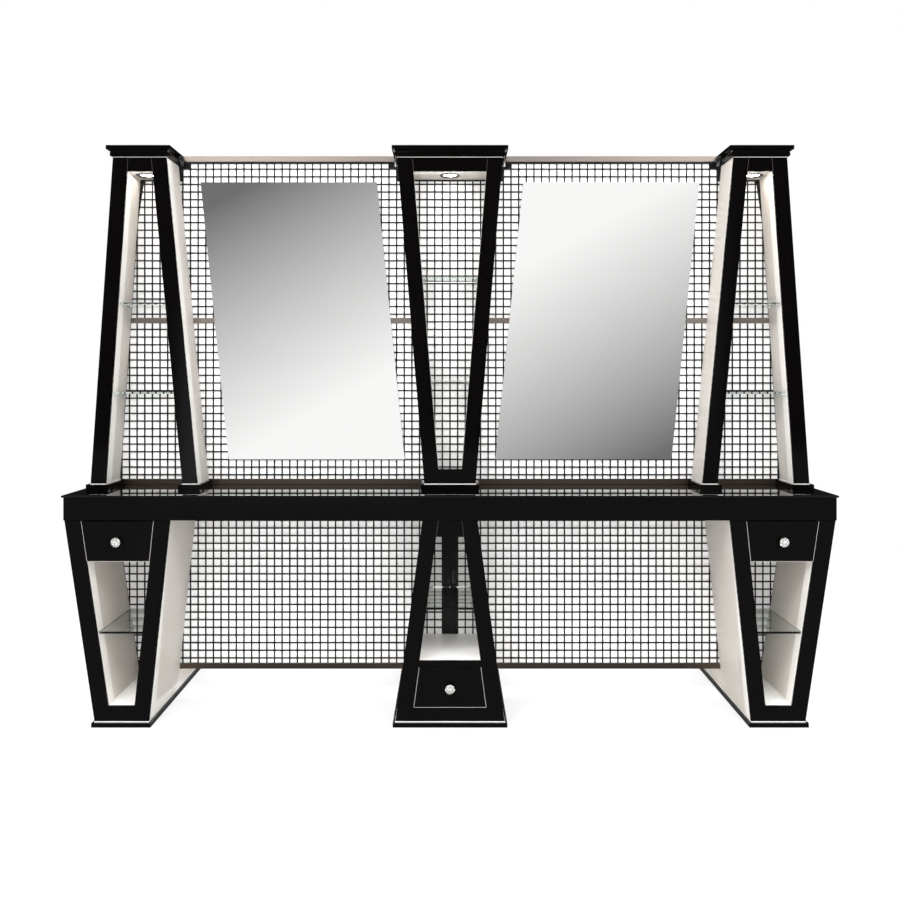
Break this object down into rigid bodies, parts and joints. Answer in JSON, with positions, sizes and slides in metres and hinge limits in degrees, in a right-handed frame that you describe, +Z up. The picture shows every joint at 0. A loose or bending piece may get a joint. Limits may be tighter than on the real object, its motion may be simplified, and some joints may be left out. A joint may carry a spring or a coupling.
{
  "type": "double sided salon station",
  "caption": "Free-standing two-sided salon styling station: tapered towers and pedestals, long glass worktop, latticed partition with leaning mirrors, drawers and glass shelves.",
  "frame": {"origin": "on the floor under the middle of the station", "axes": "+Z up, +X along the worktop, the front face looks along -Y"},
  "size_m": [2.866, 0.7586, 2.189],
  "materials": {
    "black_lacquer": "high gloss",
    "black_glass": "polished",
    "white_board": "satin",
    "lattice_black": "satin",
    "mirror": "polished",
    "white_lacquer": "high gloss",
    "clear_glass": "polished",
    "crystal": "cut and polished"
  },
  "bodies": {
    "root": {"worktop_body": "black_lacquer", "worktop_glass": "black_glass", "upper_panel_core": "white_board", "lower_panel_core": "white_board", "upper_lattice_front": "lattice_black", "lower_lattice_front": "lattice_black", "mirror_front_left": "mirror", "mirror_front_right": "mirror", "upper_lattice_rear": "lattice_black", "lower_lattice_rear": "lattice_black", "mirror_rear_left": "mirror", "mirror_rear_right": "mirror", "tower_carcass_left": "white_lacquer", "pedestal_carcass_left": "white_lacquer", "tower_carcass_centre": "white_lacquer", "pedestal_carcass_centre": "white_lacquer", "tower_carcass_right": "white_lacquer", "pedestal_carcass_right": "white_lacquer", "tower_facing_front_left": "black_lacquer", "pedestal_facing_front_left": "black_lacquer", "tower_shelf_lower_front_left": "clear_glass", "tower_shelf_upper_front_left": "clear_glass", "pedestal_shelf_front_left": "clear_glass", "tower_facing_front_centre": "black_lacquer", "pedestal_facing_front_centre": "black_lacquer", "tower_shelf_lower_front_centre": "clear_glass", "tower_shelf_upper_front_centre": "clear_glass", "pedestal_shelf_front_centre": "clear_glass", "tower_facing_front_right": "black_lacquer", "pedestal_facing_front_right": "black_lacquer", "tower_shelf_lower_front_right": "clear_glass", "tower_shelf_upper_front_right": "clear_glass", "pedestal_shelf_front_right": "clear_glass", "tower_facing_rear_left": "black_lacquer", "pedestal_facing_rear_left": "black_lacquer", "tower_shelf_lower_rear_left": "clear_glass", "tower_shelf_upper_rear_left": "clear_glass", "pedestal_shelf_rear_left": "clear_glass", "tower_facing_rear_centre": "black_lacquer", "pedestal_facing_rear_centre": "black_lacquer", "tower_shelf_lower_rear_centre": "clear_glass", "tower_shelf_upper_rear_centre": "clear_glass", "pedestal_shelf_rear_centre": "clear_glass", "tower_facing_rear_right": "black_lacquer", "pedestal_facing_rear_right": "black_lacquer", "tower_shelf_lower_rear_right": "clear_glass", "tower_shelf_upper_rear_right": "clear_glass", "pedestal_shelf_rear_right": "clear_glass"},
    "drawer_unit_front_left": {"drawer_front_left": "black_lacquer", "knob_front_left": "crystal"},
    "drawer_unit_front_centre": {"drawer_front_centre": "black_lacquer", "knob_front_centre": "crystal"},
    "drawer_unit_front_right": {"drawer_front_right": "black_lacquer", "knob_front_right": "crystal"},
    "drawer_unit_rear_left": {"drawer_rear_left": "black_lacquer", "knob_rear_left": "crystal"},
    "drawer_unit_rear_centre": {"drawer_rear_centre": "black_lacquer", "knob_rear_centre": "crystal"},
    "drawer_unit_rear_right": {"drawer_rear_right": "black_lacquer", "knob_rear_right": "crystal"}
  },
  "joints": [
    {"name": "drawer_slide_front_left", "type": "slide", "parent": "root", "child": "drawer_unit_front_left", "axis": [0, -1, 0], "range_m": [0, 0.25]},
    {"name": "drawer_slide_front_centre", "type": "slide", "parent": "root", "child": "drawer_unit_front_centre", "axis": [0, -1, 0], "range_m": [0, 0.25]},
    {"name": "drawer_slide_front_right", "type": "slide", "parent": "root", "child": "drawer_unit_front_right", "axis": [0, -1, 0], "range_m": [0, 0.25]},
    {"name": "drawer_slide_rear_left", "type": "slide", "parent": "root", "child": "drawer_unit_rear_left", "axis": [0, 1, 0], "range_m": [0, 0.25]},
    {"name": "drawer_slide_rear_centre", "type": "slide", "parent": "root", "child": "drawer_unit_rear_centre", "axis": [0, 1, 0], "range_m": [0, 0.25]},
    {"name": "drawer_slide_rear_right", "type": "slide", "parent": "root", "child": "drawer_unit_rear_right", "axis": [0, 1, 0], "range_m": [0, 0.25]}
  ]
}
